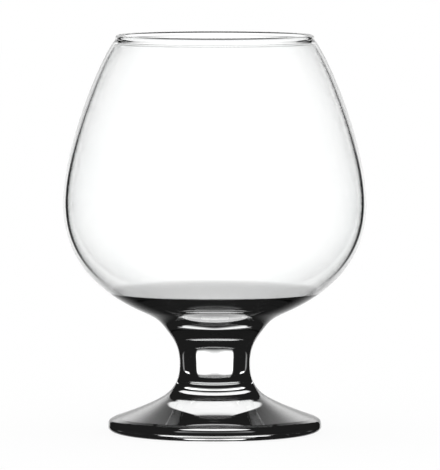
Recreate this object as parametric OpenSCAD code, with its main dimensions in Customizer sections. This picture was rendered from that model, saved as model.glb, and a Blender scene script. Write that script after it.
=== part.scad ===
// Brandy snifter: a short-stemmed glass of three gathers fused hot, one on another.
// The bowl is open at its mouth and solid in its heavy base, the stem is a solid
// waisted spool, and the foot is a solid disc with a shallow hollow under it.
// Z is up, and the glass stands with its axis on Z and its standing ring at Z = 0.

/* [Foot] */
// Widest diameter of the foot
foot_d = 66.1; // [60:0.1:76]
// Height of the widest place of the foot above the table
foot_belly_h = 2.1; // [1.9:0.1:3.2]
// Distance from the widest place in to the flat ring that the glass stands on
ring_inset = 4.8; // [4:0.1:5.4]
// Width of the standing ring
ring_w = 2; // [1.2:0.1:4]
// Depth of the hollow under the foot, at its middle
hollow_depth = 0.8; // [0.6:0.1:2.4]
// Distance from the widest place in to the crease, where the rounded edge ends
crease_inset = 2.1; // [1.5:0.1:3]
// Height of the crease above the table
crease_h = 5; // [4.6:0.1:5.8]
// Slope of the rounded edge where it meets the crease, in degrees
crease_edge_slope = 28.5; // [26:0.5:50]
// Slope of the top just inside the crease, in degrees
crease_top_slope = 19; // [14:0.5:22]
// Height of the foot, up to its joint with the stem
foot_h = 11; // [10:0.1:13]

/* [Stem] */
// Length of the stem, between its two joints
stem_h = 20.5; // [18:0.1:26]
// Diameter of the stem at its narrowest place
waist_d = 21.8; // [16:0.1:24]
// Height of the narrowest place above the joint with the foot
waist_rise = 10.4; // [8:0.1:12]
// Diameter of the joint between the foot and the stem
foot_joint_d = 33; // [31:0.1:36]
// Slope of the outside at the joint with the foot, in degrees
foot_joint_slope = 30; // [26:0.5:40]
// Diameter of the joint between the stem and the bowl
bowl_joint_d = 29.1; // [27:0.1:31]
// Slope of the outside at the joint with the bowl, in degrees
bowl_joint_slope = 53; // [46:0.5:58]

/* [Bowl] */
// Height of the bowl, from its joint with the stem to the top of its rim
bowl_h = 91.7; // [84:0.1:104]
// Widest outside diameter of the bowl
belly_d = 93.9; // [84:0.1:104]
// Height of the widest place above the joint with the stem
belly_rise = 39.7; // [36:0.1:46]
// Diameter at which the underside stops curving in and starts to curve out
flare_d = 45.2; // [43:0.1:48]
// Height of that place above the joint with the stem
flare_rise = 6.2; // [5.6:0.1:6.8]
// Slope of the underside at that place, in degrees
flare_slope = 24; // [20:0.5:28]
// Wall thickness at the widest place
belly_wall = 1.4; // [1:0.1:2]
// Wall thickness at the heel, where the side of the bowl turns in to its base
heel_wall = 1.3; // [1:0.1:2.6]
// Height of the inside floor above the joint with the stem, at its middle
floor_rise = 5.2; // [4:0.1:7]

/* [Rim] */
// Outside diameter of the rounded rim
mouth_d = 61.4; // [52:0.1:68]
// Thickness of the rounded bead that fire polishing leaves on the rim
rim_bead_d = 1.6; // [1.4:0.05:2.4]
// Wall thickness just below the bead
rim_wall = 1; // [0.8:0.05:1.3]
// Lean of the wall below the bead, in degrees from upright
rim_lean = 32; // [26:0.5:36]
// Distance along the wall over which the bead runs into the plain wall
rim_run = 2.5; // [2:0.1:4]

/* [Smoothness] */
// Number of straight steps in each curved stretch of an outline
curve_steps = 14; // [8:1:24]
// Number of sides of the round body, as drawn on the screen
round_sides = 144; // [72:12:240]

/* [Hidden] */

// Heights of the two joints and of the bowl's own marks above the table
bowl_z = foot_h + stem_h;
rim_z = bowl_z + bowl_h;
belly_z = bowl_z + belly_rise;
floor_z = bowl_z + floor_rise;

// Marks on the outside, each as [distance from the axis, height above the table]
ring_mark = [foot_d / 2 - ring_inset, 0];
edge_mark = [foot_d / 2, foot_belly_h];
crease_mark = [foot_d / 2 - crease_inset, crease_h];
foot_joint_mark = [foot_joint_d / 2, foot_h];
waist_mark = [waist_d / 2, foot_h + waist_rise];
bowl_joint_mark = [bowl_joint_d / 2, bowl_z];
flare_mark = [flare_d / 2, bowl_z + flare_rise];
belly_mark = [belly_d / 2, belly_z];

// The bead is a round lip, centred on the middle of the wall that runs up to it
bead_r = rim_bead_d / 2;
bead_centre = [mouth_d / 2 - bead_r, rim_z - bead_r];
wall_down = [sin(rim_lean), -cos(rim_lean)];
wall_out = [cos(rim_lean), sin(rim_lean)];
lip_middle = bead_centre + rim_run * wall_down;
outer_lip_mark = lip_middle + rim_wall / 2 * wall_out;
inner_lip_mark = lip_middle - rim_wall / 2 * wall_out;

// Headings of the outline at the marks, in degrees, with 0 outwards and 90 upwards
out = 0;
up = 90;
wall_up = up + rim_lean;
wall_back = wall_up - 180;

// The bead's arc, measured round its centre from outwards: it starts a little
// below its outer side, passes over the top and ends a little below its inner side
bead_start = -12;
bead_end = 180 - bead_start;

// How far each curved stretch keeps its heading before it turns, at its first and
// its second end, as shares of the straight distance between the two ends
edge_under_shares = [0.30, 0.36];
edge_over_shares = [0.60, 0.49];
foot_top_shares = [0.23, 0.33];
stem_foot_shares = [0.48, 0.29];
stem_bowl_shares = [0.47, 0.31];
flare_shares = [0.42, 0.54];
outer_belly_shares = [0.40, 0.386];
outer_top_shares = [0.29, 0.225];
lip_shares = [0.35, 0.35];
inner_top_shares = [0.15, 0.31];
floor_shares = [0.14, 0.12];

// The heel lies at this share of the way from the flare to the widest place
heel_share = 0.25;

// How late the wall gathers towards the heel: it follows this power of the way there
gather_power = 5;

// The slope of the inside is read from two places, this share of the way to either side
glance_share = 0.0001;

// A unit step along a heading
function heading(angle) = [cos(angle), sin(angle)];

// The four guide points of a curved stretch, which leaves one mark and reaches the
// next at the given headings
function guides(from, from_angle, to, to_angle, shares) =
    let (reach = norm(to - from))
    [
        from,
        from + shares[0] * reach * heading(from_angle),
        to - shares[1] * reach * heading(to_angle),
        to
    ];

// The point at share t of the way along a curved stretch
function point_along(g, t) =
    pow(1 - t, 3) * g[0] + 3 * pow(1 - t, 2) * t * g[1]
    + 3 * (1 - t) * t * t * g[2] + t * t * t * g[3];

// The heading of a curved stretch at share t of the way along it
function heading_along(g, t) =
    let (
        step = pow(1 - t, 2) * (g[1] - g[0]) + 2 * (1 - t) * t * (g[2] - g[1])
            + t * t * (g[3] - g[2])
    )
    atan2(step[1], step[0]);

// The points of a curved stretch. The first mark belongs to the stretch before it.
function stretch(from, from_angle, to, to_angle, shares) =
    let (g = guides(from, from_angle, to, to_angle, shares))
    [for (i = [1 : curve_steps]) point_along(g, i / curve_steps)];

// A round arc about a centre, both ends included
function arc(centre, radius, from_angle, to_angle) =
    [for (i = [0 : curve_steps])
        centre + radius * heading(from_angle + (to_angle - from_angle) * i / curve_steps)];

// The hollow under the foot is part of a ball, which has this radius
hollow_r = ring_mark[0] - ring_w;
ball_r = (hollow_r * hollow_r + hollow_depth * hollow_depth) / (2 * hollow_depth);
hollow_centre = [0, hollow_depth - ball_r];
hollow_edge_angle = acos(hollow_r / ball_r);

// Outline of the foot: up the hollow's edge from the axis, round and back to the axis
foot_outline = concat(
    arc(hollow_centre, ball_r, up, hollow_edge_angle),
    [ring_mark],
    stretch(ring_mark, out, edge_mark, up, edge_under_shares),
    stretch(edge_mark, up, crease_mark, 180 - crease_edge_slope, edge_over_shares),
    stretch(crease_mark, 180 - crease_top_slope, foot_joint_mark, 180 - foot_joint_slope,
            foot_top_shares),
    [[0, foot_h]]
);

// Outline of the stem: along its lower joint, up its waist and back to the axis
stem_outline = concat(
    [[0, foot_h], foot_joint_mark],
    stretch(foot_joint_mark, 180 - foot_joint_slope, waist_mark, up, stem_foot_shares),
    stretch(waist_mark, up, bowl_joint_mark, bowl_joint_slope, stem_bowl_shares),
    [[0, bowl_z]]
);

// The outside of the bowl from the flare up to the widest place
outer_belly_guides = guides(flare_mark, flare_slope, belly_mark, up, outer_belly_shares);

// Thickness of the wall at share t of that way
function wall_at(t) =
    belly_wall + (heel_wall - belly_wall) * pow((1 - t) / (1 - heel_share), gather_power);

// The inside at share t of that way, one wall in from the outside
function inside_at(t) =
    point_along(outer_belly_guides, t)
    + wall_at(t) * heading(heading_along(outer_belly_guides, t) + up);

// Marks on the inside of the bowl, and the heading with which it passes the heel
inner_belly_mark = inside_at(1);
heel_mark = inside_at(heel_share);
heel_way = inside_at(heel_share - glance_share) - inside_at(heel_share + glance_share);
heel_heading = atan2(heel_way[1], heel_way[0]);
floor_mark = [0, floor_z];

// The bead starts and ends at these places on its round lip
bead_first = bead_centre + bead_r * heading(bead_start);
bead_last = bead_centre + bead_r * heading(bead_end);

// Outline of the bowl: up the outside, over the rim and down the inside to the floor
bowl_outline = concat(
    [[0, bowl_z], bowl_joint_mark],
    stretch(bowl_joint_mark, bowl_joint_slope, flare_mark, flare_slope, flare_shares),
    stretch(flare_mark, flare_slope, belly_mark, up, outer_belly_shares),
    stretch(belly_mark, up, outer_lip_mark, wall_up, outer_top_shares),
    stretch(outer_lip_mark, wall_up, bead_first, bead_start + up, lip_shares),
    arc(bead_centre, bead_r, bead_start, bead_end),
    stretch(bead_last, bead_end + up, inner_lip_mark, wall_back, lip_shares),
    stretch(inner_lip_mark, wall_back, inner_belly_mark, -up, inner_top_shares),
    [for (i = [1 : curve_steps]) inside_at(1 - (1 - heel_share) * i / curve_steps)],
    stretch(heel_mark, heel_heading, floor_mark, 180, floor_shares)
);

// A solid of glass, turned about the axis from its outline
module turned(outline) {
    rotate_extrude($fn = round_sides) polygon(outline);
}

// Bowl: the blown cup with its heavy base and its fire-polished rim
module bowl() {
    color([0.93, 0.95, 0.95, 0.45]) turned(bowl_outline);
}

// Stem: the solid waisted spool
module stem() {
    color([0.62, 0.66, 0.67, 0.8]) turned(stem_outline);
}

// Foot: the solid disc with its rounded edge and its hollow underside
module foot() {
    color([0.78, 0.81, 0.82, 0.7]) turned(foot_outline);
}

bowl();
stem();
foot();
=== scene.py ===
import math

import bpy
import numpy as np
from bpy.props import FloatProperty, FloatVectorProperty, IntProperty, PointerProperty
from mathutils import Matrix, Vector


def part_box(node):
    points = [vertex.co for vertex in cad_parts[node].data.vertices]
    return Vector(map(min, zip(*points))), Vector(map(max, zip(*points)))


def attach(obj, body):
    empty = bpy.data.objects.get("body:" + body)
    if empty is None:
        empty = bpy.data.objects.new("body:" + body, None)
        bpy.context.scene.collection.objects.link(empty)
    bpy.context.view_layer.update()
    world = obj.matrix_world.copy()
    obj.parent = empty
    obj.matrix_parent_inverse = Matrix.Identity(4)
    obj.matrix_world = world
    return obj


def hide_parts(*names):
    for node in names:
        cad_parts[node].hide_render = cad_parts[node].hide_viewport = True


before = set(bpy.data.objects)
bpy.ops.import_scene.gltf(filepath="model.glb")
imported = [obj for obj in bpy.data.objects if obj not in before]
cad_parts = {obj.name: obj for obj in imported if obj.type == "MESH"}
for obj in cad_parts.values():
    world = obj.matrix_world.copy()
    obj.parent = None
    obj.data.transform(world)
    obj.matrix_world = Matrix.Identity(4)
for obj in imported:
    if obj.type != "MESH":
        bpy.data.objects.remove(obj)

bl_info = {
    "name": "Brandy Snifter",
    "version": (1, 0, 0),
    "blender": (4, 5, 0),
    "location": "View3D > Sidebar > Snifter",
    "description": "Models a brandy snifter of three fused gathers of clear glass, and its light",
    "category": "Add Mesh",
}

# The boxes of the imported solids, which the main sizes start from
BOWL_LOW, BOWL_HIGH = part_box("bowl")
STEM_LOW, STEM_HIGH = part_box("stem")
FOOT_LOW, FOOT_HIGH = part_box("foot")
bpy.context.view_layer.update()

MM = 0.001
UP = Vector((0, 0, 1))
AXIS = (0, 0, 0)
FULL_TURN = math.tau

# How far each curved stretch of an outline keeps its heading before it turns, at its first
# and its second end, as shares of the straight distance between the two ends
EDGE_UNDER_SHARES = (0.30, 0.36)
EDGE_OVER_SHARES = (0.60, 0.49)
FOOT_TOP_SHARES = (0.23, 0.33)
STEM_FOOT_SHARES = (0.48, 0.29)
STEM_BOWL_SHARES = (0.47, 0.31)
FLARE_SHARES = (0.42, 0.54)
OUTER_BELLY_SHARES = (0.40, 0.386)
OUTER_TOP_SHARES = (0.29, 0.225)
LIP_SHARES = (0.35, 0.35)
INNER_TOP_SHARES = (0.15, 0.31)
FLOOR_SHARES = (0.14, 0.12)

# The heel lies at this share of the way from the flare to the widest place, and the wall
# gathers towards it by this power of the way there
HEEL_SHARE = 0.25
GATHER_POWER = 5

# The stretch of the bowl's outline that runs up its lower half, the number of parts that its
# inside is drawn in there, and the share of a way over which a slope is read from two places
OUTER_BELLY = 1
INSIDE_PARTS = 4
GLANCE_SHARE = 0.0001

# Where the round bead of the rim starts, and the number of parts that it is drawn in
BEAD_START = math.radians(-12)
BEAD_PARTS = 3

# Two points of a mesh closer than this are one point
WELD = 1e-7

# A point of a mesh this close to a point of its outline lies on it
MATCH = 2e-7

# The most that a corner's true normal may turn away from its face's own
MOST_TURN = math.radians(12)

# Faces that meet at more than this angle keep a sharp edge between them
SHARP_ANGLE = math.radians(30)

# A face whose normal rises at least this much lies flat
FLAT = 0.999

# The clouds in the glass are this many times as fine as its waves. Where they are between the
# first two values the glass grows cooler, and between the second two its skin grows duller.
CLOUD_FINENESS = 0.6
COOL_CLOUDS = (0.35, 0.65)
DULL_CLOUDS = (0.6, 0.8)


def turns(*angles):
    """Angles given in degrees, as Blender takes them."""
    return [math.radians(angle) for angle in angles]


def rises(*angles):
    """How much directions at these angles above the horizon rise, given in degrees."""
    return [math.sin(angle) for angle in turns(*angles)]


# The heights above the horizon at which the glass shows light: where it starts, where it is full,
# where it begins to fade and where it ends. Straight through both thin walls of the bowl:
THIN_BAND = rises(-41, -5, 5, 34)
# Straight through thick glass, or one wall:
STRAIGHT_BAND = rises(-32, -12, 5, 34)
# Mirrored inside the glass:
MIRRORED_BAND = rises(-41, -8, 35, 72)
# Where a mirrored panel looks wider:
WIDE_BAND = rises(-1, 6, 40, 60)
# The low cards between the panels, and the part of them that one wall shows:
LOW_BAND = rises(-48, -30, -9, -2)
CORNER_BAND = rises(-31, -28, -22, -19)
# Mirrored by the outer skin, and the lamp that it mirrors too:
SKIN_BAND = rises(-38, 0, 25, 65)
LAMP_BAND = rises(8, 19, 21, 34)

# Where the outer skin begins to mirror the table, and where it does so fully
TABLE_FADE = rises(3, -3)

# The angles from the middle of a panel between which its brightness grows
SIDE_FADE = turns(2, 14)

# The angles from the middle of a panel between which one wall begins to show the low cards, and
# those from the way that the photograph looks between which it begins to show every card
CORNER_START = turns(37, 41)
BEHIND_START = turns(84, 88)

# The angles from the middle of the panel between which the strip beside it starts and ends
STRIP_START = turns(50, 52)
STRIP_END = turns(58, 56)

# Half of the angle over which the edge of a panel fades
SOFT_EDGE = math.radians(1.5)

# A ray that has passed more surfaces than this went through both sides of the bowl
ONE_SIDE = 3.5

# The times that light may turn in the glass, and the times that it may pass a joint
MOST_BOUNCES = 48
MOST_PASSES = 64

# The photograph's frame in pixels, where the middle of the glass lies in it, and how much of the
# glass one pixel shows
FRAME_WIDTH, FRAME_HEIGHT = 440, 470
GLASS_MIDDLE = 214.8
PIXEL = 0.3092 * MM

# The width of the camera's sensor, as Blender takes it
SENSOR_WIDTH = 36


# The sizes of each piece, and the settings of its finish and its light


class FootSizes(bpy.types.PropertyGroup):
    diameter: FloatProperty(
        name="Diameter", description="Widest diameter of the foot",
        default=2 * FOOT_HIGH.x, min=60 * MM, max=76 * MM, precision=5, unit="LENGTH")
    belly_height: FloatProperty(
        name="Height of the widest place",
        description="Height of the foot's widest place above the table",
        default=2.1 * MM, min=1.9 * MM, max=3.2 * MM, precision=5, unit="LENGTH")
    ring_inset: FloatProperty(
        name="Ring inset", description="Distance from the widest place in to the standing ring",
        default=4.8 * MM, min=4 * MM, max=5.4 * MM, precision=5, unit="LENGTH")
    ring_width: FloatProperty(
        name="Ring width", description="Width of the flat ring that the glass stands on",
        default=2 * MM, min=1.2 * MM, max=4 * MM, precision=5, unit="LENGTH")
    hollow_depth: FloatProperty(
        name="Hollow depth", description="Depth of the hollow under the foot, at its middle",
        default=0.8 * MM, min=0.6 * MM, max=2.4 * MM, precision=5, unit="LENGTH")
    crease_inset: FloatProperty(
        name="Crease inset", description="Distance from the widest place in to the crease above it",
        default=2.1 * MM, min=1.5 * MM, max=3 * MM, precision=5, unit="LENGTH")
    crease_height: FloatProperty(
        name="Crease height", description="Height of the crease, where the rounded edge ends",
        default=5 * MM, min=4.6 * MM, max=5.8 * MM, precision=5, unit="LENGTH")
    crease_edge_slope: FloatProperty(
        name="Slope of the edge", description="Slope of the rounded edge where it meets the crease",
        default=math.radians(28.5), min=math.radians(26), max=math.radians(50), subtype="ANGLE")
    crease_top_slope: FloatProperty(
        name="Slope of the top", description="Slope of the top just inside the crease",
        default=math.radians(19), min=math.radians(14), max=math.radians(22), subtype="ANGLE")


class StemSizes(bpy.types.PropertyGroup):
    waist_diameter: FloatProperty(
        name="Waist diameter", description="Diameter of the stem at its narrowest place",
        default=21.8 * MM, min=16 * MM, max=24 * MM, precision=5, unit="LENGTH")
    waist_rise: FloatProperty(
        name="Waist rise", description="Height of the narrowest place above the joint with the foot",
        default=10.4 * MM, min=8 * MM, max=12 * MM, precision=5, unit="LENGTH")
    foot_joint_diameter: FloatProperty(
        name="Lower joint diameter", description="Diameter of the joint between foot and stem",
        default=2 * STEM_HIGH.x, min=31 * MM, max=36 * MM, precision=5, unit="LENGTH")
    foot_joint_slope: FloatProperty(
        name="Lower joint slope", description="Slope of the outside where foot and stem meet",
        default=math.radians(30), min=math.radians(26), max=math.radians(40), subtype="ANGLE")
    bowl_joint_diameter: FloatProperty(
        name="Upper joint diameter", description="Diameter of the joint between stem and bowl",
        default=29.1 * MM, min=27 * MM, max=31 * MM, precision=5, unit="LENGTH")
    bowl_joint_slope: FloatProperty(
        name="Upper joint slope", description="Slope of the outside where stem and bowl meet",
        default=math.radians(53), min=math.radians(46), max=math.radians(58), subtype="ANGLE")


class BowlSizes(bpy.types.PropertyGroup):
    belly_diameter: FloatProperty(
        name="Belly diameter", description="Widest outside diameter of the bowl",
        default=2 * BOWL_HIGH.x, min=84 * MM, max=104 * MM, precision=5, unit="LENGTH")
    belly_rise: FloatProperty(
        name="Belly rise", description="Height of the widest place above the joint with the stem",
        default=39.7 * MM, min=36 * MM, max=46 * MM, precision=5, unit="LENGTH")
    belly_wall: FloatProperty(
        name="Belly wall", description="Wall thickness at the widest place",
        default=1.4 * MM, min=1 * MM, max=2 * MM, precision=5, unit="LENGTH")
    flare_diameter: FloatProperty(
        name="Flare diameter",
        description="Diameter at which the underside starts to curve out",
        default=45.2 * MM, min=43 * MM, max=48 * MM, precision=5, unit="LENGTH")
    flare_rise: FloatProperty(
        name="Flare rise", description="Height of that place above the joint with the stem",
        default=6.2 * MM, min=5.6 * MM, max=6.8 * MM, precision=5, unit="LENGTH")
    flare_slope: FloatProperty(
        name="Flare slope", description="Slope of the underside at that place",
        default=math.radians(24), min=math.radians(20), max=math.radians(28), subtype="ANGLE")
    heel_wall: FloatProperty(
        name="Heel wall",
        description="Wall thickness where the side of the bowl turns in to its base",
        default=1.3 * MM, min=1 * MM, max=2.6 * MM, precision=5, unit="LENGTH")
    floor_rise: FloatProperty(
        name="Floor rise", description="Height of the inside floor above the joint with the stem",
        default=5.2 * MM, min=4 * MM, max=7 * MM, precision=5, unit="LENGTH")


class RimSizes(bpy.types.PropertyGroup):
    mouth_diameter: FloatProperty(
        name="Mouth diameter", description="Outside diameter of the rounded rim",
        default=61.4 * MM, min=52 * MM, max=68 * MM, precision=5, unit="LENGTH")
    bead_diameter: FloatProperty(
        name="Bead",
        description="Thickness of the rounded bead that fire polishing leaves on the rim",
        default=1.6 * MM, min=1.4 * MM, max=2.4 * MM, precision=5, unit="LENGTH")
    wall: FloatProperty(
        name="Wall below the bead", description="Wall thickness just below the bead",
        default=1 * MM, min=0.8 * MM, max=1.3 * MM, precision=5, unit="LENGTH")
    lean: FloatProperty(
        name="Lean", description="Lean of the wall below the bead, away from upright",
        default=math.radians(32), min=math.radians(26), max=math.radians(36), subtype="ANGLE")
    run: FloatProperty(
        name="Run", description="Distance along the wall over which the bead runs into it",
        default=2.5 * MM, min=2 * MM, max=4 * MM, precision=5, unit="LENGTH")


class MeshSteps(bpy.types.PropertyGroup):
    turn: IntProperty(
        name="Steps round", description="Number of steps in one turn about the axis",
        default=256, min=32, max=384)
    stretch: IntProperty(
        name="Steps along", description="Number of steps in each curved stretch of an outline",
        default=20, min=6, max=32)


class GlassFinish(bpy.types.PropertyGroup):
    clear: FloatVectorProperty(
        name="Clear glass", description="Colour of the clear glass, as one surface passes it",
        default=(0.996, 0.998, 0.997), min=0, max=1, size=3, subtype="COLOR")
    cool: FloatVectorProperty(
        name="Cool glass", description="Colour of the faintly cooler clouds in the glass",
        default=(0.984, 0.992, 0.991), min=0, max=1, size=3, subtype="COLOR")
    index: FloatProperty(
        name="Refractive index", description="Refractive index of soda-lime glass",
        default=1.52, min=1.3, max=1.8)
    dullness: FloatProperty(
        name="Dullness", description="Roughness of the dullest places of the skin",
        default=0.01, min=0, max=1, subtype="FACTOR")
    wave: FloatProperty(
        name="Wave", description="Height of the slow waves that working the hot glass leaves",
        default=0.002 * MM, min=0, max=0.1 * MM, precision=6, unit="LENGTH")
    wave_length: FloatProperty(
        name="Wave length", description="Distance from one slow wave to the next",
        default=14 * MM, min=3 * MM, max=60 * MM, precision=5, unit="LENGTH")


class StudioSettings(bpy.types.PropertyGroup):
    panel_half_width: FloatProperty(
        name="Half width of the panel",
        description="Angle from the middle of the pale panel to its side",
        default=math.radians(22), min=math.radians(5), max=math.radians(40), subtype="ANGLE")
    panel_widening: FloatProperty(
        name="Panel widening", description="Angle by which the panel looks wider in thick glass",
        default=math.radians(3), min=0, max=math.radians(10), subtype="ANGLE")
    panel_narrowing: FloatProperty(
        name="Panel narrowing",
        description="Angle by which the panel looks narrower elsewhere in the glass",
        default=math.radians(2), min=0, max=math.radians(10), subtype="ANGLE")
    panel_level: FloatProperty(
        name="Panel level", description="Brightness of the middle of the panel as the glass shows it",
        default=1.3, min=0, max=4, subtype="FACTOR")
    panel_side_level: FloatProperty(
        name="Panel side level", description="Brightness of the panel towards its sides",
        default=2.2, min=0, max=4, subtype="FACTOR")
    mirrored_level: FloatProperty(
        name="Mirrored level", description="Brightness of the panel where the glass mirrors it once",
        default=1.1, min=0, max=4, subtype="FACTOR")
    mirrored_loss: FloatProperty(
        name="Mirrored loss",
        description="Brightness that the panel loses each further time that it is mirrored",
        default=0.38, min=0, max=1, subtype="FACTOR")
    strip_level: FloatProperty(
        name="Strip level", description="Brightness of the narrow strips beside the panel",
        default=0.3, min=0, max=2, subtype="FACTOR")
    skin_level: FloatProperty(
        name="Skin level", description="Brightness of what the outer skin mirrors",
        default=0.8, min=0, max=2, subtype="FACTOR")
    lamp_level: FloatProperty(
        name="Lamp level", description="How much brighter the skin mirrors the lamp above the panel",
        default=1.05, min=0, max=2, subtype="FACTOR")
    table_level: FloatProperty(
        name="Table level", description="How much brighter the skin mirrors the pale table",
        default=0.35, min=0, max=2, subtype="FACTOR")
    room_level: FloatProperty(
        name="Room level", description="Brightness of the dark room between the panels",
        default=0.012, min=0, max=1, subtype="FACTOR")
    table_size: FloatProperty(
        name="Table size", description="Width of the pale table",
        default=6, min=0.5, max=20, unit="LENGTH")
    table_glow: FloatProperty(
        name="Table glow", description="Share of the table's white that no shadow darkens",
        default=0.92, min=0, max=1, subtype="FACTOR")
    camera_distance: FloatProperty(
        name="Camera distance", description="Level distance from the glass to the camera",
        default=2, min=0.5, max=6, unit="LENGTH")
    camera_height: FloatProperty(
        name="Camera height", description="Height of the camera above the table",
        default=197 * MM, min=0, max=2, precision=4, unit="LENGTH")
    camera_aim: FloatProperty(
        name="Camera aim", description="Height above the table that the camera points at",
        default=61.3 * MM, min=0, max=0.3, precision=4, unit="LENGTH")


# Half of each piece's cross-section


def heading(angle):
    """A step of one along a heading, with 0 outwards and a quarter turn upwards."""
    return Vector((math.cos(angle), 0, math.sin(angle)))


def mark(across, height):
    """A point of an outline, at a distance from the axis and a height above the table."""
    return Vector((across, 0, height))


class Outline:
    """Half of a round piece's cross-section, drawn from stretch to stretch as a Bezier curve."""

    def __init__(self, start):
        self.ends = [start]
        self.guides = []

    def curve(self, end, leaving, arriving, shares):
        """Adds a curved stretch, which keeps its two headings for shares of the straight distance."""
        start = self.ends[-1]
        reach = (end - start).length
        self.guides.append((start + shares[0] * reach * heading(leaving),
                            end - shares[1] * reach * heading(arriving)))
        self.ends.append(end)

    def arc(self, centre, radius, start_angle, end_angle, pieces):
        """Adds a round arc in so many curved stretches, from where the outline has got to."""
        step = (end_angle - start_angle) / pieces
        side = math.copysign(math.pi / 2, step)
        share = 4 / 3 * math.tan(abs(step) / 4) / (2 * math.sin(abs(step) / 2))
        for i in range(1, pieces + 1):
            before, after = start_angle + (i - 1) * step, start_angle + i * step
            self.curve(centre + radius * heading(after), before + side, after + side, (share, share))

    def line(self, end):
        """Adds a straight stretch."""
        start = self.ends[-1]
        self.guides.append((start.lerp(end, 1 / 3), start.lerp(end, 2 / 3)))
        self.ends.append(end)

    def point(self, stretch, share):
        """The place and the heading at a share of the way along one stretch."""
        a, (b, c), d = self.ends[stretch], self.guides[stretch], self.ends[stretch + 1]
        rest = 1 - share
        place = (rest ** 3 * a + 3 * rest ** 2 * share * b
                 + 3 * rest * share ** 2 * c + share ** 3 * d)
        step = rest ** 2 * (b - a) + 2 * rest * share * (c - b) + share ** 2 * (d - c)
        return place, math.atan2(step.z, step.x)


def foot_outline(foot, stem):
    """The foot: out along its hollow and its standing ring, round the edge and up its top."""
    half = foot.diameter / 2
    ring = mark(half - foot.ring_inset, 0)
    hollow_edge = ring.x - foot.ring_width
    ball = (hollow_edge ** 2 + foot.hollow_depth ** 2) / (2 * foot.hollow_depth)
    outline = Outline(mark(0, foot.hollow_depth))
    outline.arc(mark(0, foot.hollow_depth - ball), ball,
                math.pi / 2, math.acos(hollow_edge / ball), 1)
    outline.line(ring)
    outline.curve(mark(half, foot.belly_height), 0, math.pi / 2, EDGE_UNDER_SHARES)
    outline.curve(mark(half - foot.crease_inset, foot.crease_height),
                  math.pi / 2, math.pi - foot.crease_edge_slope, EDGE_OVER_SHARES)
    outline.curve(mark(stem.foot_joint_diameter / 2, FOOT_HIGH.z),
                  math.pi - foot.crease_top_slope, math.pi - stem.foot_joint_slope, FOOT_TOP_SHARES)
    return outline


def stem_outline(stem):
    """The stem: up its waist, from the joint with the foot to the joint with the bowl."""
    outline = Outline(mark(stem.foot_joint_diameter / 2, STEM_LOW.z))
    outline.curve(mark(stem.waist_diameter / 2, STEM_LOW.z + stem.waist_rise),
                  math.pi - stem.foot_joint_slope, math.pi / 2, STEM_FOOT_SHARES)
    outline.curve(mark(stem.bowl_joint_diameter / 2, STEM_HIGH.z),
                  math.pi / 2, stem.bowl_joint_slope, STEM_BOWL_SHARES)
    return outline


def inside_bowl(outline, bowl, share):
    """The inside of the bowl's lower half, one wall in from a share of the way along its outside."""

    def inside(share):
        outside, slope = outline.point(OUTER_BELLY, share)
        gathered = (max(1 - share, 0) / (1 - HEEL_SHARE)) ** GATHER_POWER
        wall = bowl.belly_wall + (bowl.heel_wall - bowl.belly_wall) * gathered
        return outside + wall * heading(slope + math.pi / 2)

    way = inside(share - GLANCE_SHARE) - inside(share + GLANCE_SHARE)
    return inside(share), math.atan2(way.z, way.x)


def bowl_outline(bowl, rim, stem):
    """The bowl: up its outside, over the bead on its rim and down its inside to the floor."""
    base = BOWL_LOW.z
    belly = mark(bowl.belly_diameter / 2, base + bowl.belly_rise)
    bead = rim.bead_diameter / 2
    bead_centre = mark(rim.mouth_diameter / 2 - bead, BOWL_HIGH.z - bead)
    bead_end = math.pi - BEAD_START
    wall_up = math.pi / 2 + rim.lean
    lip = bead_centre + rim.run * heading(wall_up + math.pi)
    half_wall = rim.wall / 2 * heading(rim.lean)
    outline = Outline(mark(stem.bowl_joint_diameter / 2, base))
    outline.curve(mark(bowl.flare_diameter / 2, base + bowl.flare_rise),
                  stem.bowl_joint_slope, bowl.flare_slope, FLARE_SHARES)
    outline.curve(belly, bowl.flare_slope, math.pi / 2, OUTER_BELLY_SHARES)
    outline.curve(lip + half_wall, math.pi / 2, wall_up, OUTER_TOP_SHARES)
    outline.curve(bead_centre + bead * heading(BEAD_START),
                  wall_up, BEAD_START + math.pi / 2, LIP_SHARES)
    outline.arc(bead_centre, bead, BEAD_START, bead_end, BEAD_PARTS)
    outline.curve(lip - half_wall, bead_end + math.pi / 2, wall_up + math.pi, LIP_SHARES)
    outline.curve(belly - mark(bowl.belly_wall, 0), wall_up + math.pi, -math.pi / 2, INNER_TOP_SHARES)
    reached, slope = inside_bowl(outline, bowl, 1)
    for i in range(1, INSIDE_PARTS + 1):
        before = slope
        reached, slope = inside_bowl(outline, bowl, 1 - (1 - HEEL_SHARE) * i / INSIDE_PARTS)
        outline.curve(reached, before, slope, (1 / 3, 1 / 3))
    outline.curve(mark(0, base + bowl.floor_rise), slope, math.pi, FLOOR_SHARES)
    return outline


# From an outline to a piece of glass


def deselect_all():
    """Nothing is selected and nothing is being edited."""
    if bpy.context.object and bpy.context.object.mode != "OBJECT":
        bpy.ops.object.mode_set(mode="OBJECT")
    bpy.ops.object.select_all(action="DESELECT")


def draw_outline(outline, steps):
    """Adds an outline as a Bezier curve and turns it into a chain of points."""
    deselect_all()
    bpy.ops.curve.primitive_bezier_curve_add(location=AXIS)
    curve = bpy.context.object.data
    spline = curve.splines[0]
    spline.bezier_points.add(len(outline.ends) - len(spline.bezier_points))
    for i, point in enumerate(spline.bezier_points):
        point.handle_left_type = point.handle_right_type = "FREE"
        point.co = outline.ends[i]
        point.handle_left = outline.guides[i - 1][1] if i else point.co
        point.handle_right = outline.guides[i][0] if i < len(outline.guides) else point.co
    curve.resolution_u = curve.render_resolution_u = steps
    bpy.ops.object.convert(target="MESH")
    return bpy.context.object


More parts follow.
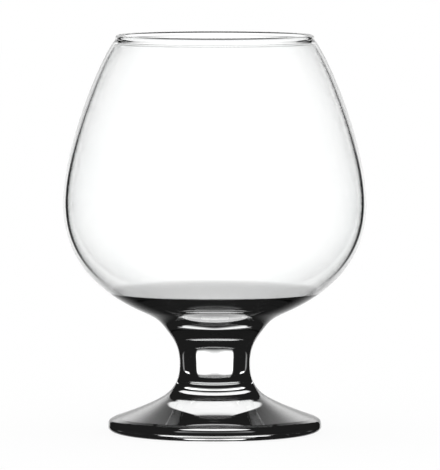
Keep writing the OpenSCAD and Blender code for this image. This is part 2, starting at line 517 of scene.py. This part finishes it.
def turn_piece(name, outline, steps):
    """Turns an outline into a closed solid of glass, flat where the outline leaves it open."""
    piece = draw_outline(outline, steps.stretch)
    piece.name = piece.data.name = name
    bpy.ops.object.mode_set(mode="EDIT")
    for end in (outline.ends[0], outline.ends[-1]):
        if end.x > WELD:
            bpy.ops.mesh.select_all(action="DESELECT")
            bpy.ops.object.mode_set(mode="OBJECT")
            for vertex in piece.data.vertices:
                vertex.select = (vertex.co - end).length < WELD
            bpy.ops.object.mode_set(mode="EDIT")
            bpy.ops.mesh.extrude_region_move(TRANSFORM_OT_translate={"value": (-end.x, 0, 0)})
    bpy.ops.mesh.select_all(action="SELECT")
    bpy.ops.mesh.spin(steps=steps.turn, angle=FULL_TURN, center=AXIS, axis=UP)
    bpy.ops.mesh.select_all(action="SELECT")
    bpy.ops.mesh.remove_doubles(threshold=WELD)
    bpy.ops.mesh.normals_make_consistent(inside=False)
    bpy.ops.object.mode_set(mode="OBJECT")
    bpy.ops.object.shade_smooth_by_angle(angle=SHARP_ANGLE)
    return piece


def set_exact_normals(piece, outline, steps):
    """Gives each corner the true normal of the curve it lies on, so that light bends smoothly."""
    marks, tilts = [], []
    for stretch in range(len(outline.guides)):
        for i in range(steps.stretch + 1):
            place, angle = outline.point(stretch, i / steps.stretch)
            marks.append((place.x, place.z))
            tilts.append((math.sin(angle), -math.cos(angle)))
    marks, tilts = np.array(marks), np.array(tilts)
    mesh = piece.data
    places = read_vectors(mesh.vertices, "co")
    flat_normals = read_vectors(mesh.polygons, "normal")
    across = np.hypot(places[:, 0], places[:, 1])
    # Where two stretches meet in a corner, one point has two normals: the one that is nearer to
    # the face's own is taken
    corner_point = np.zeros(len(mesh.loops), int)
    mesh.loops.foreach_get("vertex_index", corner_point)
    counts = np.zeros(len(mesh.polygons), int)
    mesh.polygons.foreach_get("loop_total", counts)
    corner_face = np.repeat(np.arange(len(mesh.polygons)), counts)
    best = flat_normals[corner_face].copy()
    closest = np.full(len(best), math.cos(MOST_TURN))
    outwards = places / np.maximum(across, WELD)[:, None]
    outwards[across < WELD] = 0
    for (mark_x, mark_z), (tilt_x, tilt_z) in zip(marks, tilts):
        on_mark = (np.abs(across - mark_x) < MATCH) & (np.abs(places[:, 2] - mark_z) < MATCH)
        corners = np.flatnonzero(on_mark[corner_point])
        normal = outwards[corner_point[corners]] * tilt_x
        normal[:, 2] = tilt_z
        match = (normal * flat_normals[corner_face[corners]]).sum(1)
        better = match > closest[corners]
        best[corners[better]] = normal[better]
        closest[corners[better]] = match[better]
    mesh.normals_split_custom_set(best.tolist())
    mesh.update()


def read_vectors(items, name):
    """One vector of each vertex or face of a mesh, as an array."""
    values = np.zeros(len(items) * 3)
    items.foreach_get(name, values)
    return values.reshape(-1, 3)


def make_piece(scene, node, outline, joints, glass):
    """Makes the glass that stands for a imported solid, which meets its neighbours at the joints."""
    piece = turn_piece(f"{node}_glass", outline, scene.snifter_steps)
    set_exact_normals(piece, outline, scene.snifter_steps)
    piece.data.materials.append(glass)
    piece.data.materials.append(joint_material())
    for face in piece.data.polygons:
        flat = abs(face.normal.z) > FLAT
        face.material_index = int(flat and any(abs(face.center.z - z) < WELD for z in joints))
    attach(piece, "root")
    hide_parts(node)


# Materials


class Socket:
    """An output of a node. Sums on it add the Math nodes that work them out."""

    def __init__(self, graph, node, output=0):
        self.graph, self.node, self.output = graph, node, output

    def other(self, output):
        """Another output of the same node."""
        return Socket(self.graph, self.node, output)

    def math(self, operation, *values):
        """A Math node on this output and the values after it."""
        return self.graph.add("ShaderNodeMath", {"operation": operation},
                              dict(enumerate((self, *values))))

    def __add__(self, value):
        return self.math("ADD", value)

    __radd__ = __add__

    def __mul__(self, value):
        return self.math("MULTIPLY", value)

    __rmul__ = __mul__

    def __sub__(self, value):
        return self.math("SUBTRACT", value)

    def __rsub__(self, value):
        return -1 * self + value

    def smooth(self, start, end):
        """A soft step from 0 at start to 1 at end."""
        return self.graph.add("ShaderNodeMapRange", {"interpolation_type": "SMOOTHSTEP"},
                              {"Value": self, "From Min": start, "From Max": end})


class Graph:
    """A node tree that is filled from code."""

    def __init__(self, tree):
        self.tree = tree
        tree.nodes.clear()

    def add(self, kind, settings=None, inputs=None):
        """Adds a node: first its settings, then the value or the link of each socket."""
        node = self.tree.nodes.new(kind)
        for name, value in (settings or {}).items():
            setattr(node, name, value)
        for name, value in (inputs or {}).items():
            if isinstance(value, Socket):
                self.tree.links.new(value.node.outputs[value.output], node.inputs[name])
            else:
                node.inputs[name].default_value = value
        return Socket(self, node)


def mix_colours(graph, factor, first, second):
    """A colour between two others."""
    node = graph.add("ShaderNodeMix", {"data_type": "RGBA"}, {0: factor, 6: first, 7: second})
    return node.other(2)


def height_band(rise, band):
    """1 where a direction rises between the middle values of a band, and 0 outside the band."""
    start, full, fading, end = band
    return rise.smooth(start, full) * rise.smooth(end, fading)


def within(limit, angle):
    """1 where an angle is less than a limit, and 0 where it is more, with a soft edge."""
    return (limit - angle).smooth(-SOFT_EDGE, SOFT_EDGE)


def opaque(colour):
    """A colour as a socket takes it."""
    return (*colour, 1)


def glass_material(name, finish, stretch, seed):
    """Clear fire-polished glass: slow waves, faint cooler clouds and a hardly dulled skin. Drawn
    glass has its waves longer along the axis, and the seed gives each piece waves of its own."""
    material = bpy.data.materials.new(name)
    material.use_nodes = True
    graph = Graph(material.node_tree)
    place = graph.add("ShaderNodeTexCoord").other("Object")
    drawn = graph.add("ShaderNodeMapping", {}, {"Vector": place, "Location": (seed, seed, seed),
                                                "Scale": (1, 1, stretch)})
    waves = graph.add("ShaderNodeTexNoise", {}, {
        "Vector": drawn, "Scale": 1 / finish.wave_length, "Detail": 1.0, "Roughness": 0.3})
    clouds = graph.add("ShaderNodeTexNoise", {}, {
        "Vector": drawn, "Scale": CLOUD_FINENESS / finish.wave_length, "Detail": 2.0,
        "Roughness": 0.5})
    tint = mix_colours(graph, clouds.smooth(*COOL_CLOUDS), opaque(finish.clear),
                       opaque(finish.cool))
    normal = graph.add("ShaderNodeBump", {}, {
        "Strength": 1.0, "Distance": finish.wave, "Height": waves})
    shader = graph.add("ShaderNodeBsdfPrincipled", {}, {
        "Base Color": tint, "Roughness": clouds.smooth(*DULL_CLOUDS) * finish.dullness,
        "IOR": finish.index, "Transmission Weight": 1.0, "Normal": normal})
    graph.add("ShaderNodeOutputMaterial", {}, {"Surface": shader})
    return material


def joint_material():
    """The inside of a fused joint, where the glass runs on and nothing shows."""
    name = "fused_joint"
    material = bpy.data.materials.get(name)
    if material is None:
        material = bpy.data.materials.new(name)
        material.use_nodes = True
        graph = Graph(material.node_tree)
        shader = graph.add("ShaderNodeBsdfPrincipled", {}, {
            "Base Color": (1, 1, 1, 1), "Roughness": 0.0, "Alpha": 0.0})
        graph.add("ShaderNodeOutputMaterial", {}, {"Surface": shader})
    return material


# The steps that make the scene


class SNIFTER_OT_foot(bpy.types.Operator):
    """Turns the solid foot, with its rounded edge and the hollow under it"""

    bl_idname = "snifter.foot"
    bl_label = "Foot"

    def execute(self, context):
        scene = context.scene
        outline = foot_outline(scene.snifter_foot, scene.snifter_stem)
        glass = glass_material("pressed_foot_glass", scene.snifter_finish, stretch=1, seed=3)
        make_piece(scene, "foot", outline, (FOOT_HIGH.z,), glass)
        return {"FINISHED"}


class SNIFTER_OT_stem(bpy.types.Operator):
    """Turns the solid stem with its waist"""

    bl_idname = "snifter.stem"
    bl_label = "Stem"

    def execute(self, context):
        scene = context.scene
        outline = stem_outline(scene.snifter_stem)
        glass = glass_material("pressed_stem_glass", scene.snifter_finish, stretch=1, seed=5)
        make_piece(scene, "stem", outline, (STEM_LOW.z, STEM_HIGH.z), glass)
        return {"FINISHED"}


class SNIFTER_OT_bowl(bpy.types.Operator):
    """Turns the blown bowl, with its heavy base and the bead on its rim"""

    bl_idname = "snifter.bowl"
    bl_label = "Bowl"

    def execute(self, context):
        scene = context.scene
        outline = bowl_outline(scene.snifter_bowl, scene.snifter_rim, scene.snifter_stem)
        glass = glass_material("blown_bowl_glass", scene.snifter_finish, stretch=0.4, seed=7)
        make_piece(scene, "bowl", outline, (BOWL_LOW.z,), glass)
        return {"FINISHED"}


class SNIFTER_OT_stage(bpy.types.Operator):
    """Lays the pale table, lights the room and sets up the camera"""

    bl_idname = "snifter.stage"
    bl_label = "Stage"

    def execute(self, context):
        studio = context.scene.snifter_studio
        self.lay_table(studio)
        self.light_room(context.scene, studio)
        self.place_camera(context.scene, studio)
        self.set_rendering(context.scene)
        return {"FINISHED"}

    def lay_table(self, studio):
        """A plain white table, which keeps the glass's shadow."""
        deselect_all()
        bpy.ops.mesh.primitive_grid_add(
            x_subdivisions=8, y_subdivisions=8, size=studio.table_size, location=AXIS)
        table = bpy.context.object
        table.name = "table"
        material = bpy.data.materials.new("white_table")
        material.use_nodes = True
        graph = Graph(material.node_tree)
        surface = graph.add("ShaderNodeBsdfPrincipled", {}, {
            "Base Color": (1, 1, 1, 1), "Roughness": 0.9, "Specular IOR Level": 0.0})
        glow = graph.add("ShaderNodeEmission", {}, {"Color": (1, 1, 1, 1), "Strength": 1.0})
        shown = graph.add("ShaderNodeMixShader", {}, {0: studio.table_glow, 1: surface, 2: glow})
        graph.add("ShaderNodeOutputMaterial", {}, {"Surface": shown})
        table.data.materials.append(material)
        table.visible_transmission = False
        table.visible_glossy = False

    def light_room(self, scene, studio):
        """A white background, and the pale panels and the dark room that the glass alone shows.

        What a ray has met on its way decides what it sees of them, so that the thin bowl, the
        thick glass and the outer skin each show what the photograph shows there.
        """
        world = bpy.data.worlds.new("studio")
        scene.world = world
        world.use_nodes = True
        graph = Graph(world.node_tree)
        direction = graph.add("ShaderNodeTexCoord").other("Generated")
        parts = graph.add("ShaderNodeSeparateXYZ", {}, {"Vector": direction})
        rise = parts.other("Z")
        aside = parts.other("X").math("ARCTAN2", parts.other("Y")).math("ABSOLUTE")
        ray = graph.add("ShaderNodeLightPath")
        passed, mirrors = ray.other("Transmission Depth"), ray.other("Glossy Depth")
        skin = 1 - passed.math("MINIMUM", 1)
        panels = self.panels(studio, rise, aside, passed, mirrors)
        mirrored = self.mirrored_by_skin(studio, rise, aside)
        seen = (skin * mirrored + (1 - skin) * panels).math("MAXIMUM", studio.room_level)
        through = ray.other("Is Glossy Ray").math("MAXIMUM", ray.other("Is Transmission Ray"))
        strength = through * seen + (1 - through)
        back = graph.add("ShaderNodeBackground", {}, {"Color": (1, 1, 1, 1), "Strength": strength})
        graph.add("ShaderNodeOutputWorld", {}, {"Surface": back})

    def panels(self, studio, rise, aside, passed, mirrors):
        """The brightness that a ray sees once it has been through the glass.

        The panel stands behind the glass, as the photograph looks at it. Rise is how much the
        ray rises, and aside is its angle from the way that the photograph looks.
        """
        side = studio.panel_half_width
        quarter = math.pi / 2
        off_quarter = ((aside + quarter / 2).math("MODULO", quarter) - quarter / 2).math("ABSOLUTE")
        straight = 1 - mirrors.math("MINIMUM", 1)
        thin = straight * passed.math("GREATER_THAN", ONE_SIDE)
        glow = (thin * height_band(rise, THIN_BAND)
                + (straight - thin) * height_band(rise, STRAIGHT_BAND)
                + (1 - straight) * height_band(rise, MIRRORED_BAND))
        # The panel, whose width and brightness change where the glass mirrors it
        change = studio.panel_widening + studio.panel_narrowing
        widened = side + (1 - straight) * (change * height_band(rise, WIDE_BAND)
                                           - studio.panel_narrowing)
        panel = within(widened, aside)
        beside = (studio.panel_side_level - studio.panel_level) * off_quarter.smooth(*SIDE_FADE)
        mirrored_level = studio.mirrored_level - studio.mirrored_loss * (mirrors - 1)
        level = straight * (studio.panel_level + beside) + (1 - straight) * mirrored_level
        # The cards round the rest of the room, so that the bowl is as clear from every side. One
        # side of it, seen through the mouth, shows them where thick glass sends hardly any light
        # in the photograph.
        corner = off_quarter.smooth(*CORNER_START) * height_band(rise, CORNER_BAND)
        mouth = straight * aside.smooth(*BEHIND_START).math("MAXIMUM", corner)
        clear = thin.math("MAXIMUM", mouth)
        card = clear * within(side, off_quarter)
        low_card = clear * within(side, quarter / 2 - off_quarter) * height_band(rise, LOW_BAND)
        seen = (panel.math("MAXIMUM", card) * glow).math("MAXIMUM", low_card) * level
        # The narrow strips beside the panel
        strip = (aside.smooth(*STRIP_START) * aside.smooth(*STRIP_END)
                 * glow * straight * studio.strip_level)
        return seen.math("MAXIMUM", strip)

    def mirrored_by_skin(self, studio, rise, aside):
        """The brightness that the outer skin mirrors: the panel, a lamp above it and the table."""
        level = (studio.skin_level + studio.lamp_level * height_band(rise, LAMP_BAND)
                 + studio.table_level * rise.smooth(*TABLE_FADE))
        return level * height_band(rise, SKIN_BAND) * within(studio.panel_half_width, aside)

    def place_camera(self, scene, studio):
        """A long lens, a little above the glass, aimed as the photograph was."""
        deselect_all()
        drop = studio.camera_height - studio.camera_aim
        bpy.ops.object.camera_add(
            location=((FRAME_WIDTH / 2 - GLASS_MIDDLE) * PIXEL, -studio.camera_distance,
                      studio.camera_height),
            rotation=(math.pi / 2 - math.atan2(drop, studio.camera_distance), 0, 0))
        camera = bpy.context.object
        camera.name = "camera"
        camera.data.sensor_fit = "AUTO"
        camera.data.sensor_width = SENSOR_WIDTH
        reach = math.hypot(studio.camera_distance, drop)
        camera.data.lens = SENSOR_WIDTH * reach / (PIXEL * FRAME_HEIGHT)
        camera.data.clip_start, camera.data.clip_end = 0.1, 50
        camera.data.dof.use_dof = False
        scene.camera = camera

    def set_rendering(self, scene):
        """Light that passes many surfaces of glass, and plain colours."""
        scene.view_settings.view_transform = "Standard"
        cycles = scene.cycles
        cycles.max_bounces = cycles.transmission_bounces = cycles.glossy_bounces = MOST_BOUNCES
        cycles.transparent_max_bounces = MOST_PASSES


class SNIFTER_PT_panel(bpy.types.Panel):
    """Lists the sizes of the glass and the buttons that make its pieces"""

    bl_idname = "SNIFTER_PT_panel"
    bl_label = "Brandy Snifter"
    bl_space_type = "VIEW_3D"
    bl_region_type = "UI"
    bl_category = "Snifter"

    def draw(self, context):
        layout = self.layout
        for name in GROUPS:
            box = layout.box()
            group = getattr(context.scene, name)
            for field in group.bl_rna.properties:
                if field.identifier not in {"rna_type", "name"}:
                    box.prop(group, field.identifier)
        for operator in OPERATORS:
            layout.operator(operator.bl_idname)


GROUPS = {
    "snifter_foot": FootSizes,
    "snifter_stem": StemSizes,
    "snifter_bowl": BowlSizes,
    "snifter_rim": RimSizes,
    "snifter_steps": MeshSteps,
    "snifter_finish": GlassFinish,
    "snifter_studio": StudioSettings,
}
OPERATORS = (SNIFTER_OT_stage, SNIFTER_OT_foot, SNIFTER_OT_stem, SNIFTER_OT_bowl)


def register():
    for cls in (*GROUPS.values(), *OPERATORS, SNIFTER_PT_panel):
        bpy.utils.register_class(cls)
    for name, cls in GROUPS.items():
        setattr(bpy.types.Scene, name, PointerProperty(type=cls))


def unregister():
    for name in GROUPS:
        delattr(bpy.types.Scene, name)
    for cls in reversed((*GROUPS.values(), *OPERATORS, SNIFTER_PT_panel)):
        bpy.utils.unregister_class(cls)


def main():
    """Makes the stage and the three pieces."""
    register()
    bpy.ops.snifter.stage()
    bpy.ops.snifter.foot()
    bpy.ops.snifter.stem()
    bpy.ops.snifter.bowl()


if __name__ == "__main__":
    main()
